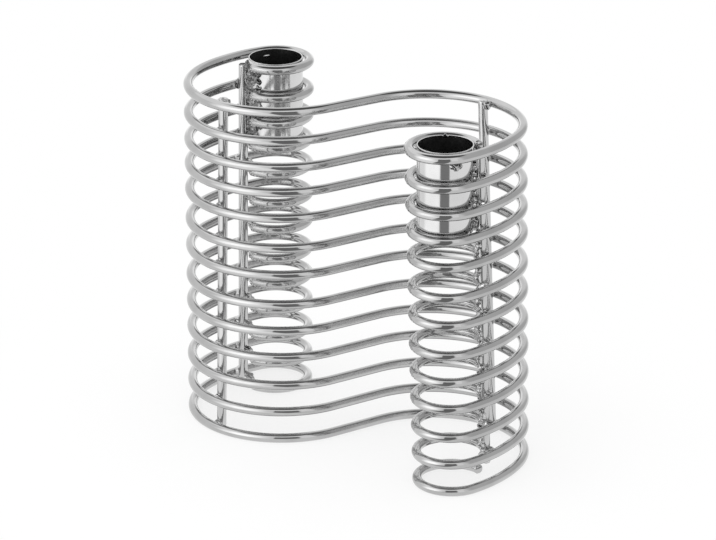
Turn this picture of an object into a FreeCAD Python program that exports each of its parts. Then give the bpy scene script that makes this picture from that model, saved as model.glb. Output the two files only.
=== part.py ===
"""Wire candle holder: a stack of scroll wires on four upright rods, with a candle cup in each end."""
import FreeCAD, Part
import math
import os

from FreeCAD import Placement, Rotation, Vector

os.makedirs("parts", exist_ok=True)

# Round bar: the scroll wires, and the rods that they are welded to
WIRE_DIAMETER = 4.0
ROD_DIAMETER = 4.0

# Plan of a scroll wire, from its middle outward: straight, lobe, flank, and a ring round the cup.
# All bends turn the same way. The left lobe is bent a little further than the right one.
STRAIGHT_HALF = 11.7
LOBE_RADIUS = 38.5
LOBE_SWEEP_LEFT = 155.6
LOBE_SWEEP_RIGHT = 148.4
FLANK_RADIUS = 64.0
FLANK_SWEEP = 27.8
RING_CLEARANCE = 0.05

# Stack: thirteen wires, unevenly spaced, that creep round and sideways from the top to the bottom
LEVEL_PITCH = 12.0
GAP_SHARES = (1.03, 0.955, 0.90, 0.94, 1.095, 0.99, 1.09, 0.98, 0.98, 1.045, 0.99, 0.995)
STACK_TURN = 2.8
STACK_LEAN = 1.4
LEAN_HEADING = -33.0
FOOT_FLAT_DEPTH = 0.15

# Candle cups: a tube and a disc under it, from the top wire down to the fourth
CUP_BORE = 22.0
CUP_WALL = 0.5
CUP_FLOOR = 1.0
CUP_LEVELS = 4
CUP_RIM_RISE = 1.7
CUP_RIM_ROUND = 0.15
RIM_ROUND_LIMIT_SHARE = 0.4

# Rods inside the lobes, and posts beside the cups
ROD_HEAD_ANGLE = 16.0
ROD_FOOT_ANGLE = 7.0
ROD_HEAD_RISE = 1.7
ROD_FOOT_DROP = 1.0
ROD_END_ROUND = 0.6
POST_HEAD_DROP = 2.3
POST_CUP_GAP = 0.05
RIGHT_POST_LEVELS = 12
RIGHT_POST_OVERHANG = 5.0

# Welds: the root gap between a rod and each wire, the fit of the weld metal round bars and cups,
# and the lumps of weld metal
WELD_GAP = 0.3
WELD_FIT = 0.1
BEAD_RADIUS = 2.7
TACK_RADIUS = 2.4
BEAD_SIZE_SHARES = (1.0, 0.94, 1.05, 0.97, 1.02)
BEAD_LIFT = 0.5
BEAD_GROUND_GAP = 0.3
SEAM_RADIUS = 1.7
SEAM_PITCH = 2.2

WIRE_RADIUS = WIRE_DIAMETER / 2
ROD_RADIUS = ROD_DIAMETER / 2
CUP_RADIUS = CUP_BORE / 2 + CUP_WALL
LEVEL_COUNT = len(GAP_SHARES) + 1
HALF_TURN = 180.0
FULL_TURN = 360.0
SIDES = ("left", "right")
UP = Vector(0, 0, 1)

STACK_HEIGHT = LEVEL_PITCH * sum(GAP_SHARES)
LEVEL_HEIGHTS = [WIRE_RADIUS - FOOT_FLAT_DEPTH + LEVEL_PITCH * sum(GAP_SHARES[level:])
                 for level in range(LEVEL_COUNT)]
TOP_HEIGHT = LEVEL_HEIGHTS[0]
CUP_TOP = TOP_HEIGHT + CUP_RIM_RISE
CUP_BOTTOM = LEVEL_HEIGHTS[CUP_LEVELS - 1]
CUP_DEPTH = CUP_TOP - CUP_BOTTOM - CUP_FLOOR
CUP_MIDDLE = (CUP_TOP + CUP_BOTTOM) / 2


def ray(angle, length=1):
    """Level vector of the given length, at an angle in degrees from the X axis."""
    return Vector(math.cos(math.radians(angle)), math.sin(math.radians(angle)), 0) * length


def angle_of(vector):
    """Angle in degrees of a level vector from the X axis."""
    return math.degrees(math.atan2(vector.y, vector.x))


class Bend:
    """A clockwise arc of the plan, tangent to where it starts."""

    def __init__(self, start, heading, radius, sweep):
        self.start = start
        self.heading = heading
        self.radius = radius
        self.sweep = sweep
        self.centre = start + ray(heading - HALF_TURN / 2, radius)
        self.end_heading = heading - sweep
        self.end = self.centre - ray(self.end_heading - HALF_TURN / 2, radius)

    def solid(self, bar_radius):
        """Bar of the given radius, bent along this arc."""
        section = Part.Face(Part.Wire(Part.makeCircle(bar_radius, self.start, ray(self.heading))))
        return section.revolve(self.centre, UP, -self.sweep)

    def length(self):
        """Length of the arc."""
        return math.radians(self.sweep) * self.radius


def creep(reach):
    """How far the stack's turn and slide part a cup from a wire at its end, at a reach from the axis."""
    share = (CUP_TOP - CUP_BOTTOM) / 2 / STACK_HEIGHT
    return share * (math.radians(abs(STACK_TURN)) * reach + abs(STACK_LEAN))


class ScrollHalf:
    """Plan of one half of a scroll wire, drawn as the right half."""

    def __init__(self, lobe_sweep):
        self.lobe = Bend(ray(0, STRAIGHT_HALF), 0, LOBE_RADIUS, lobe_sweep)
        self.flank = Bend(self.lobe.end, self.lobe.end_heading, FLANK_RADIUS, FLANK_SWEEP)
        inward = ray(self.flank.end_heading - HALF_TURN / 2)
        self.creep = creep((self.flank.end + inward * CUP_RADIUS).Length)
        self.ring_radius = CUP_RADIUS + self.creep + RING_CLEARANCE + WIRE_RADIUS
        self.cup_centre = self.flank.end + inward * self.ring_radius
        self.post = self._post_place()
        self.ring = Bend(self.flank.end, self.flank.end_heading, self.ring_radius, self._ring_sweep())

    def _post_place(self):
        """Where a post touches both the cup and the inner side of the flank, but for the gaps."""
        from_cup = CUP_RADIUS + self.creep + POST_CUP_GAP + ROD_RADIUS
        from_flank = FLANK_RADIUS - WIRE_RADIUS - WELD_GAP - ROD_RADIUS
        span = FLANK_RADIUS - self.ring_radius
        toward = (from_cup ** 2 - from_flank ** 2 + span ** 2) / (2 * span)
        turn = math.degrees(math.acos(toward / from_cup))
        to_flank_centre = angle_of(self.flank.centre - self.cup_centre)
        return self.cup_centre + ray(to_flank_centre - turn, from_cup)

    def _ring_sweep(self):
        """The ring runs round the cup until its end meets the post."""
        start_angle = angle_of(self.flank.end - self.cup_centre)
        post_angle = angle_of(self.post - self.cup_centre)
        end_room = math.degrees((ROD_RADIUS + WELD_GAP) / self.ring_radius)
        return (start_angle - post_angle - end_room) % FULL_TURN

    def rod(self, angle):
        """Centre of a rod that stands inside the lobe, at an angle from the lobe's centre."""
        return self.lobe.centre + ray(angle, LOBE_RADIUS - WIRE_RADIUS - WELD_GAP - ROD_RADIUS)

    def bends(self):
        """The bends from the middle outward."""
        return (self.lobe, self.flank, self.ring)


def turned(item):
    """A solid or point carried over to the left half, by half a turn about the stack's axis."""
    half_turn = Placement(Vector(), Rotation(UP, HALF_TURN))
    if isinstance(item, Vector):
        return half_turn.multVec(item)
    return item.transformed(half_turn.toMatrix())


def on_side(side, item):
    """An item drawn for the right half, on the side asked for."""
    return turned(item) if side == "left" else item


HALVES = {"left": ScrollHalf(LOBE_SWEEP_LEFT), "right": ScrollHalf(LOBE_SWEEP_RIGHT)}
CUPS_LINE = HALVES["right"].cup_centre - turned(HALVES["left"].cup_centre)


def stack_place(height):
    """Turn and slide of the stack at a height. At the cups, the line through them lies along X."""
    turn_share = (CUP_MIDDLE - height) / STACK_HEIGHT
    lean_share = (TOP_HEIGHT - height) / STACK_HEIGHT - 1 / 2
    turn = Rotation(UP, STACK_TURN * turn_share - angle_of(CUPS_LINE))
    slide = turn.multVec(ray(LEAN_HEADING, STACK_LEAN * lean_share))
    return Placement(slide + UP * height, turn)


def placed(point, height):
    """A point of the plan at a height in the stack."""
    return stack_place(height).multVec(point)


def scroll_bar(bar_radius):
    """Bar of the given radius along a whole scroll wire, lying flat with its middle at the origin."""
    bar = Part.makeCylinder(bar_radius, 2 * STRAIGHT_HALF, ray(HALF_TURN, STRAIGHT_HALF), ray(0))
    for side in SIDES:
        for bend in HALVES[side].bends():
            bar = bar.fuse(on_side(side, bend.solid(bar_radius)))
    return bar


def scroll_wires():
    """The thirteen wires in their places, the lowest ground flat underneath to stand on."""
    flat = scroll_bar(WIRE_RADIUS)
    bends = [bend for side in SIDES for bend in HALVES[side].bends()]
    length = 2 * STRAIGHT_HALF + sum(bend.length() for bend in bends)
    ratio = flat.Volume / (math.pi * WIRE_RADIUS ** 2 * length)
    print(f"scroll wire: {length:.1f} mm of bar, volume against section times length {ratio:.5f}")
    wires = [flat.transformed(stack_place(height).toMatrix()) for height in LEVEL_HEIGHTS]
    reach = 2 * (STRAIGHT_HALF + LOBE_RADIUS + FLANK_RADIUS)
    floor = Part.makeBox(2 * reach, 2 * reach, WIRE_DIAMETER, Vector(-reach, -reach, -WIRE_DIAMETER))
    wires[-1] = wires[-1].cut(floor)
    return wires


def wire_rooms():
    """The room that each wire takes among the welds."""
    room = scroll_bar(WIRE_RADIUS + WELD_FIT)
    return [room.transformed(stack_place(height).toMatrix()) for height in LEVEL_HEIGHTS]


def upright(foot, head):
    """A round rod from its foot to its head, both ends eased."""
    axis = head - foot
    rod = Part.makeCylinder(ROD_RADIUS, axis.Length, foot, axis)
    ends = [edge for edge in rod.Edges if edge.Closed]
    return rod.makeFillet(ROD_END_ROUND, ends)


def upright_room(foot, head):
    """The room that a rod takes among the welds."""
    axis = head - foot
    return Part.makeCylinder(ROD_RADIUS + WELD_FIT, axis.Length, foot, axis)


def lobe_rod_ends(side):
    """Foot and head of the rod inside a lobe, from the lowest wire to above the top wire's middle."""
    half = HALVES[side]
    foot_height = LEVEL_HEIGHTS[-1] - ROD_FOOT_DROP
    foot = placed(on_side(side, half.rod(ROD_FOOT_ANGLE)), foot_height)
    head = placed(on_side(side, half.rod(ROD_HEAD_ANGLE)), TOP_HEIGHT + ROD_HEAD_RISE)
    return foot, head


def post_foot_height(side):
    """The left post reaches the lowest wire, and the right one ends under the wire above it."""
    if side == "left":
        return LEVEL_HEIGHTS[-1] - ROD_FOOT_DROP
    return LEVEL_HEIGHTS[RIGHT_POST_LEVELS - 1] - RIGHT_POST_OVERHANG


def cup_post_ends(side):
    """Foot and head of the post between a cup, the ring's end and the flank."""
    place = on_side(side, HALVES[side].post)
    return placed(place, post_foot_height(side)), placed(place, TOP_HEIGHT - POST_HEAD_DROP)


def cup_axis(side):
    """Foot of a cup's upright axis, in the middle of the rings that it stands in."""
    point = placed(on_side(side, HALVES[side].cup_centre), CUP_MIDDLE)
    return Vector(point.x, point.y, CUP_BOTTOM)


def cup_tube(side):
    """The cup's thin wall, its rim eased inside and out."""
    base = cup_axis(side) + UP * CUP_FLOOR
    bore = Part.makeCylinder(CUP_BORE / 2, CUP_DEPTH, base)
    tube = Part.makeCylinder(CUP_RADIUS, CUP_DEPTH, base).cut(bore)
    rim = [edge for edge in tube.Edges if edge.Closed and edge.BoundBox.ZMin > base.z + CUP_DEPTH / 2]
    return tube.makeFillet(min(CUP_RIM_ROUND, CUP_WALL * RIM_ROUND_LIMIT_SHARE), rim)


def cup_floor(side):
    """The disc that closes the cup underneath."""
    return Part.makeCylinder(CUP_RADIUS, CUP_FLOOR, cup_axis(side))


def cup_room(side):
    """The room that a cup takes among the welds."""
    return Part.makeCylinder(CUP_RADIUS + WELD_FIT, CUP_TOP - CUP_BOTTOM, cup_axis(side))


def bead_radius(radius, count):
    """Weld beads differ a little in size, in a repeating order."""
    return radius * BEAD_SIZE_SHARES[count % len(BEAD_SIZE_SHARES)]


def weld_bead(radius, level, spot, across):
    """A bead at a wire, across a joint, low on the top wire and clear of the ground on the lowest."""
    size = bead_radius(radius, level)
    lift = BEAD_LIFT if level else -BEAD_LIFT
    height = max(spot.z + lift, size + BEAD_GROUND_GAP)
    return Part.makeSphere(size, Vector(spot.x, spot.y, height), across)


def on_line(foot, head, height):
    """The point at a height on the line from a foot to a head."""
    return foot + (head - foot) * ((height - foot.z) / (head.z - foot.z))


def lobe_rod_welds(side, rooms):
    """A bead where each wire crosses the lobe rod."""
    half = HALVES[side]
    foot, head = lobe_rod_ends(side)
    rod_room = upright_room(foot, head)
    beads = []
    for level, height in enumerate(LEVEL_HEIGHTS):
        centre = placed(on_side(side, half.lobe.centre), height)
        outward = angle_of(on_line(foot, head, height) - centre)
        spot = centre + ray(outward, LOBE_RADIUS - WIRE_RADIUS - WELD_GAP / 2)
        bead = weld_bead(TACK_RADIUS, level, spot, ray(outward))
        beads += bead.cut([rooms[level], rod_room]).Solids
    return Part.makeCompound(beads)


def cup_seam(side, level):
    """Lumps in a row between cup and post, from one wire down to the next."""
    axis = cup_axis(side)
    top = LEVEL_HEIGHTS[level]
    bottom = LEVEL_HEIGHTS[level + 1]
    count = max(2, round((top - bottom) / SEAM_PITCH))
    lumps = []
    for step in range(1, count):
        height = bottom + (top - bottom) * step / count
        post_at = placed(on_side(side, HALVES[side].post), height)
        root = Vector(axis.x, axis.y, height)
        outward = angle_of(post_at - root)
        spot = root + ray(outward, (CUP_RADIUS + (post_at - root).Length - ROD_RADIUS) / 2)
        lumps.append(Part.makeSphere(bead_radius(SEAM_RADIUS, step + level), spot, ray(outward)))
    return lumps


def post_welds(side, rooms):
    """At each wire, beads from the post to the flank and to the ring's end, with seams at the cup."""
    half = HALVES[side]
    post_room = upright_room(*cup_post_ends(side))
    lumps = []
    cutters = [post_room, cup_room(side)]
    for level, height in enumerate(LEVEL_HEIGHTS):
        if height < post_foot_height(side):
            continue
        post_at = placed(on_side(side, half.post), height)
        flank_centre = placed(on_side(side, half.flank.centre), height)
        ring_end = placed(on_side(side, half.ring.end), height)
        outward = angle_of(post_at - flank_centre)
        on_flank = flank_centre + ray(outward, FLANK_RADIUS - WIRE_RADIUS)
        lumps.append(weld_bead(TACK_RADIUS, level, on_flank, ray(outward)))
        lumps.append(weld_bead(BEAD_RADIUS, level, (ring_end + post_at) / 2, post_at - ring_end))
        cutters.append(rooms[level])
        if level < CUP_LEVELS - 1:
            lumps += cup_seam(side, level)
    return Part.makeCompound(lumps[0].fuse(lumps[1:]).cut(cutters).Solids)


def build():
    """Every node by name."""
    nodes = {}
    for level, wire in enumerate(scroll_wires(), start=1):
        nodes[f"scroll_wire_{level:02d}"] = wire
    rooms = wire_rooms()
    for side in SIDES:
        nodes[f"{side}_lobe_rod"] = upright(*lobe_rod_ends(side))
        nodes[f"{side}_cup_post"] = upright(*cup_post_ends(side))
        nodes[f"{side}_cup_tube"] = cup_tube(side)
        nodes[f"{side}_cup_floor"] = cup_floor(side)
        nodes[f"{side}_rod_welds"] = lobe_rod_welds(side, rooms)
        nodes[f"{side}_post_welds"] = post_welds(side, rooms)
    return nodes


def main():
    """Builds the holder, moves the middle of its footprint to the origin and writes each node's file."""
    nodes = build()
    box = Part.makeCompound(list(nodes.values())).optimalBoundingBox(False, False)
    shift = Vector(-box.Center.x, -box.Center.y, -box.ZMin)
    for name, shape in nodes.items():
        moved = shape.translated(shift)
        moved.exportStep(f"parts/{name}.step")
        print(f"{name}: {len(moved.Solids)} solid(s), {moved.Volume:.1f} mm3, valid {moved.isValid()}")
    print(f"size {box.XLength:.2f} x {box.YLength:.2f} x {box.ZLength:.2f} mm, shift {shift}")
    middle = stack_place(TOP_HEIGHT - STACK_HEIGHT / 2)
    heading = angle_of(middle.Rotation.multVec(ray(0)))
    print(f"at half height the straight heads {heading:.3f} degrees, its middle at {middle.Base + shift}")
    for side in SIDES:
        mouth = cup_axis(side) + shift + UP * (CUP_TOP - CUP_BOTTOM)
        print(f"{side} cup: mouth at {mouth}, bore {CUP_BORE / 2:.2f} mm, {CUP_DEPTH:.2f} mm deep")


main()
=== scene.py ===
"""Wire candle holder: scroll wires stacked on four upright rods, with a candle cup in each end.

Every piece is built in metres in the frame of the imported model. Each stands for one of its nodes,
but for a drop of weld metal inside a cup, which stands for none.
"""

import logging
import math
import random
from dataclasses import dataclass, field, replace
from enum import Enum
from typing import Iterable, Optional, Sequence, Union

import bmesh
import bpy
from bmesh.types import BMEdge, BMesh, BMVert
from bpy.types import ID, Material, Mesh, Node, NodeSocket, Object, World
from mathutils import Matrix, Vector, noise


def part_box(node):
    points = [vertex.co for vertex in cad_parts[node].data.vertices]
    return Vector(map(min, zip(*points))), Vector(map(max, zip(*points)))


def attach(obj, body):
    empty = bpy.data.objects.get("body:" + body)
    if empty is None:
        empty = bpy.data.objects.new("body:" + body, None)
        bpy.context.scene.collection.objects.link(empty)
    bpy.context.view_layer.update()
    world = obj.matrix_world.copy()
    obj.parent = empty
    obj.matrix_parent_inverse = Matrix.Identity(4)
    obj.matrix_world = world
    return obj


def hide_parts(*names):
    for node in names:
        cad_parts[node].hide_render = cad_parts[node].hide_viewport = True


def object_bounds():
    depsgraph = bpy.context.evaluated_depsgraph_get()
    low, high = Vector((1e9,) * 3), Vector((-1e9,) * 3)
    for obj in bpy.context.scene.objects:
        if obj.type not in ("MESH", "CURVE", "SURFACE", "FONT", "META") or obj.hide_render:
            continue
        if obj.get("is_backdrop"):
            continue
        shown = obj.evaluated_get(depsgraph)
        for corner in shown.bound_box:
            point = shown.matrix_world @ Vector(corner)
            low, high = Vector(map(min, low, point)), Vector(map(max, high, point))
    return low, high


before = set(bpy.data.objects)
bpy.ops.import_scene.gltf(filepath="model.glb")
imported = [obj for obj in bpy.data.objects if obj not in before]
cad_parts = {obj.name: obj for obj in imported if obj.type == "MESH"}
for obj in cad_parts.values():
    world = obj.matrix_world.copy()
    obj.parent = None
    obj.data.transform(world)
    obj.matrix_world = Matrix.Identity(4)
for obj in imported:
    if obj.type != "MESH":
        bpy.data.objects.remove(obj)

LOG = logging.getLogger("candle_holder")
UP = Vector((0.0, 0.0, 1.0))
BODY = "root"
# Point attribute of how deep a weld point lies in a groove; the weld finishes darken by it as
# painted shade
CREVICE_SHADE = "crevice_shade"
# Where the camera stands, in degrees from the X axis
CAMERA_HEADING = -31.92
# A bend of more degrees than this shows as an edge
SHARP_ANGLE = 50.0
# Points nearer than this many metres are one
TOUCH = 0.000001
Value = Union[NodeSocket, float, Sequence[float]]


class Side(Enum):
    """The two ends of the holder, as the camera sees them."""

    LEFT = "left"
    RIGHT = "right"


def ray(angle: float, length: float = 1.0) -> Vector:
    """Level vector of a length, at an angle in degrees from the X axis."""
    return Vector((math.cos(math.radians(angle)), math.sin(math.radians(angle)), 0.0)) * length


def angle_of(vector: Vector) -> float:
    """Angle in degrees of a level vector from the X axis."""
    return math.degrees(math.atan2(vector.y, vector.x))


def smooth_step(value: float, low: float, high: float) -> float:
    """Share from 0 at low to 1 at high, eased at both ends."""
    share = min(max((value - low) / (high - low), 0.0), 1.0)
    return share * share * (3.0 - 2.0 * share)


def at_height(point: Vector, height: float) -> Vector:
    """A point, moved up or down to a height."""
    return Vector((point.x, point.y, height))


def on_line(foot: Vector, head: Vector, height: float) -> Vector:
    """Where a leaning line from foot to head passes a height."""
    return foot + (head - foot) * ((height - foot.z) / (head.z - foot.z))


def new_object(name: str, data: ID) -> Object:
    """A new object in the scene, for a mesh, a light or a camera.

    Args:
        name: The object's name.
        data: The mesh, light or camera.

    Returns:
        The new object.
    """
    made = bpy.data.objects.new(name, data)
    bpy.context.scene.collection.objects.link(made)
    return made


# Finishes


class Shader:
    """A material, or the world, under construction, with short calls for its nodes."""

    def __init__(self, owner: Union[Material, World]) -> None:
        """Starts with an empty node tree.

        Args:
            owner: The material or world that gets the nodes.
        """
        owner.use_nodes = True
        self.owner = owner
        self.tree = owner.node_tree
        self.tree.nodes.clear()

    def node(
            self, kind: str, inputs: Optional[dict[Union[str, int], Value]] = None,
            **settings: object) -> Node:
        """Adds a node.

        Args:
            kind: The node's type, without its ShaderNode prefix.
            inputs: A value or a socket to link, for each input by name or number.
            settings: Properties of the node itself.

        Returns:
            The new node.
        """
        made = self.tree.nodes.new("ShaderNode" + kind)
        for key, setting in settings.items():
            setattr(made, key, setting)
        for key, value in (inputs or {}).items():
            if isinstance(value, NodeSocket):
                self.tree.links.new(value, made.inputs[key])
            else:
                made.inputs[key].default_value = value
        return made

    def math(self, operation: str, *values: Value) -> NodeSocket:
        """A sum, product or other calculation with its values in order."""
        return self.node("Math", dict(enumerate(values)), operation=operation).outputs[0]

    def product(self, first: Value, *others: Value) -> Value:
        """Values multiplied together.

        Args:
            first: The first value.
            others: What it is multiplied by.

        Returns:
            The product.
        """
        for other in others:
            first = self.math("MULTIPLY", first, other)
        return first

    def reach(self, across: NodeSocket, along: NodeSocket) -> NodeSocket:
        """Distance of a place from the middle of a flat pattern."""
        squares = self.math("ADD", self.product(across, across), self.product(along, along))
        return self.math("SQRT", squares)

    def ramp(
            self, value: Value, low: float, high: float, start: float = 0.0,
            end: float = 1.0) -> NodeSocket:
        """A value eased from start at low to end at high."""
        inputs = {"Value": value, "From Min": low, "From Max": high, "To Min": start, "To Max": end}
        return self.node("MapRange", inputs, interpolation_type="SMOOTHSTEP").outputs[0]

    def blend(self, share: Value, first: Value, second: Value) -> NodeSocket:
        """Two colours mixed by a share."""
        return self.node("Mix", {0: share, 6: first, 7: second}, data_type="RGBA").outputs[2]

    def noise(self, where: Value, scale: float, detail: float, rough: float = 0.5) -> NodeSocket:
        """Strength of a cloudy pattern at a place."""
        inputs = {"Vector": where, "Scale": scale, "Detail": detail, "Roughness": rough}
        return self.node("TexNoise", inputs).outputs[0]

    def place(self) -> NodeSocket:
        """The point's own place on the object."""
        return self.node("TexCoord").outputs["Object"]

    def mirrored(self) -> NodeSocket:
        """1 where something glossy or clear shows the surface, otherwise 0."""
        rays = self.node("LightPath").outputs
        return self.math("MAXIMUM", rays["Is Glossy Ray"], rays["Is Transmission Ray"])

    def direct(self) -> NodeSocket:
        """1 where the camera sees the surface itself, otherwise 0."""
        return self.node("LightPath").outputs["Is Camera Ray"]

    def finish(self, surface: NodeSocket) -> Material:
        """Ends a material with its surface.

        Args:
            surface: The shader that the surface shows.

        Returns:
            The finished material.
        """
        self.node("OutputMaterial", {"Surface": surface})
        return self.owner

    def glow(self, share: NodeSocket, radiance: float) -> Material:
        """Ends a material as a glow that is clear where its share is 0.

        Args:
            share: How much of the glow a place shows.
            radiance: How bright the glow is, where 1 is white.

        Returns:
            The finished material.
        """
        clear = self.node("BsdfTransparent").outputs[0]
        light = self.node("Emission", {"Color": grey(1.0), "Strength": radiance}).outputs[0]
        return self.finish(self.node("MixShader", {0: share, 1: clear, 2: light}).outputs[0])


def grey(level: float) -> tuple[float, float, float, float]:
    """A neutral colour with one level in all its channels."""
    return (level, level, level, 1.0)


@dataclass(frozen=True)
class SteelFinish:
    """Bare steel: its colour, how its gloss varies, the marks of drawing and handling, and on welds
    painted shade in the grooves.
    """

    name: str
    bright: float
    dull: float
    gloss: float
    haze: float
    metallic: float = 1.0
    stretch: tuple[float, float, float] = (1.0, 1.0, 1.0)
    mark_scale: float = 900.0
    mark_depth: float = 0.000004
    mark_detail: float = 5.0
    mark_rough: float = 0.62
    mark_range: tuple[float, float] = (0.3, 0.75)
    mark_haze: float = 0.55
    smear_scale: float = 55.0
    smear_detail: float = 4.0
    smear_rough: float = 0.6
    smear_range: tuple[float, float] = (0.35, 0.68)
    smear_haze: float = 0.45
    # Grey that the grooves darken to, as painted shade; None for no painted shade
    crevice_shade: Optional[float] = None
    crevice_haze: float = 0.7

    def material(self) -> Material:
        """Builds the finish as a material.

        Returns:
            The material, whose patterns follow the piece's own coordinates.
        """
        shader = Shader(bpy.data.materials.new(self.name))
        where = shader.place()
        stretched = shader.node("Mapping", {"Vector": where, "Scale": self.stretch}).outputs[0]
        smears = shader.noise(where, self.smear_scale, self.smear_detail, self.smear_rough)
        marks = shader.noise(stretched, self.mark_scale, self.mark_detail, self.mark_rough)
        patches = shader.ramp(smears, *self.smear_range)
        colour = shader.blend(patches, grey(self.bright), grey(self.dull))
        lines = shader.ramp(marks, *self.mark_range, 0.0, self.mark_haze)
        spread = shader.math("MULTIPLY_ADD", patches, self.smear_haze, lines)
        rough = shader.ramp(spread, 0.0, 1.0, self.gloss, self.haze)
        # Painted shade: the colour darkens towards the crevice grey by how deep each point lies in
        # a groove
        if self.crevice_shade is not None:
            depth = shader.node("Attribute", attribute_name=CREVICE_SHADE).outputs["Fac"]
            colour = shader.blend(depth, colour, grey(self.crevice_shade))
            rough = shader.math("MAXIMUM", rough, shader.product(depth, self.crevice_haze))
        bump = shader.node("Bump", {"Height": marks, "Distance": self.mark_depth, "Strength": 1.0})
        inputs = {
            "Base Color": colour, "Metallic": self.metallic, "Roughness": rough,
            "Normal": bump.outputs[0]}
        return shader.finish(shader.node("BsdfPrincipled", inputs).outputs[0])


@dataclass(frozen=True)
class Finishes:
    """All the finishes of the holder."""

    wire: SteelFinish = SteelFinish("polished_wire", bright=0.50, dull=0.44, gloss=0.04, haze=0.13)
    rod: SteelFinish = SteelFinish(
        "drawn_rod", bright=0.57, dull=0.50, gloss=0.06, haze=0.16, stretch=(1.0, 1.0, 0.06))
    cup: SteelFinish = SteelFinish(
        "rolled_cup", bright=0.66, dull=0.60, gloss=0.07, haze=0.16, stretch=(1.0, 1.0, 0.04),
        mark_scale=700.0)
    # Near-black, matt, non-metallic inside of the cups
    cup_inside: SteelFinish = SteelFinish(
        "near_black_inside", bright=0.007, dull=0.018, gloss=0.30, haze=0.55, mark_depth=0.00003,
        metallic=0.0)
    # The weld's crevice grey is painted shade in its grooves
    weld: SteelFinish = SteelFinish(
        "rough_weld", bright=0.62, dull=0.34, gloss=0.10, haze=0.28, mark_scale=1200.0,
        mark_depth=0.00001, smear_scale=300.0, crevice_shade=0.01)
    # Its crevice grey, too, is painted shade in the grooves
    burnt_weld: SteelFinish = replace(
        weld, name="burnt_weld", bright=0.31, dull=0.12, gloss=0.12, haze=0.32, crevice_shade=0.006)


# Pieces


class Workshop:
    """Turns meshes into pieces of the holder."""

    def __init__(self) -> None:
        """Starts with no materials made."""
        self._materials: dict[str, Material] = {}

    def coat(self, finish: SteelFinish) -> Material:
        """The material of a finish, made once.

        Args:
            finish: The finish.

        Returns:
            Its material.
        """
        if finish.name not in self._materials:
            self._materials[finish.name] = finish.material()
        return self._materials[finish.name]

    def piece(
            self, name: str, mesh: Mesh, node: Optional[str], slot: str,
            coats: Sequence[SteelFinish]) -> Object:
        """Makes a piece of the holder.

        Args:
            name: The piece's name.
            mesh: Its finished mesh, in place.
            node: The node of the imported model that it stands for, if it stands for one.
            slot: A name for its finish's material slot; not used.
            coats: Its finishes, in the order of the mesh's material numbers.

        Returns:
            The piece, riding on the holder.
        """
        mesh.name = name
        for coat in coats:
            mesh.materials.append(self.coat(coat))
        mesh.shade_smooth()
        mesh.set_sharp_from_angle(angle=math.radians(SHARP_ANGLE))
        piece = new_object(name, mesh)
        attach(piece, BODY)
        if node:
            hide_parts(node)
        LOG.info("%s: %d vertices, stands for %s", name, len(mesh.vertices), node or "no node")
        return piece


def round_edges(model: BMesh, edges: list[BMEdge], offset: float, steps: int) -> None:
    """Rounds edges of a model in a number of steps.

    Args:
        model: The model, which is changed.
        edges: Its edges that are rounded.
        offset: How far from the edge the rounding starts.
        steps: How many faces it has across.
    """
    bmesh.ops.bevel(
        model, geom=edges, offset=offset, offset_type="OFFSET", segments=steps, profile=0.5,
        affect="EDGES", material=-1)


def to_mesh(model: BMesh, name: str, recalculate: bool = True) -> Mesh:
    """Ends a model as a mesh.

    Args:
        model: The model, which is freed.
        name: The mesh's name.
        recalculate: Whether its faces are turned outward first.

    Returns:
        The mesh.
    """
    if recalculate:
        bmesh.ops.recalc_face_normals(model, faces=model.faces)
    mesh = bpy.data.meshes.new(name)
    model.to_mesh(mesh)
    model.free()
    return mesh


@dataclass(frozen=True)
class Bend:
    """A clockwise arc of the plan, tangent to where it starts."""

    start: Vector
    heading: float
    radius: float
    sweep: float

    @property
    def centre(self) -> Vector:
        """Middle of the arc's circle."""
        return self.start + ray(self.heading - 90.0, self.radius)

    @property
    def end_heading(self) -> float:
        """Heading in degrees where the arc ends."""
        return self.heading - self.sweep

    @property
    def end(self) -> Vector:
        """The point where the arc ends."""
        return self.centre - ray(self.end_heading - 90.0, self.radius)

    def length(self) -> float:
        """Length of the arc."""
        return math.radians(self.sweep) * self.radius


@dataclass(frozen=True)
class ScrollPlan:
    """Sizes of a scroll wire's plan, from its middle outward, and of what stands in it."""

    wire_radius: float = 0.002
    rod_radius: float = 0.002
    straight_half: float = 0.0117
    lobe_radius: float = 0.0385
    lobe_sweep_left: float = 155.6
    lobe_sweep_right: float = 148.4
    flank_radius: float = 0.064
    flank_sweep: float = 27.8
    ring_clearance: float = 0.00005
    cup_radius: float = 0.0115
    cup_wall: float = 0.0005
    post_cup_gap: float = 0.00005
    weld_gap: float = 0.0003
    rod_head_angle: float = 16.0
    rod_foot_angle: float = 7.0
    weld_cover_left: float = 49.0
    weld_cover_right: float = 8.0
    free_end_short: float = 27.0


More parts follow.
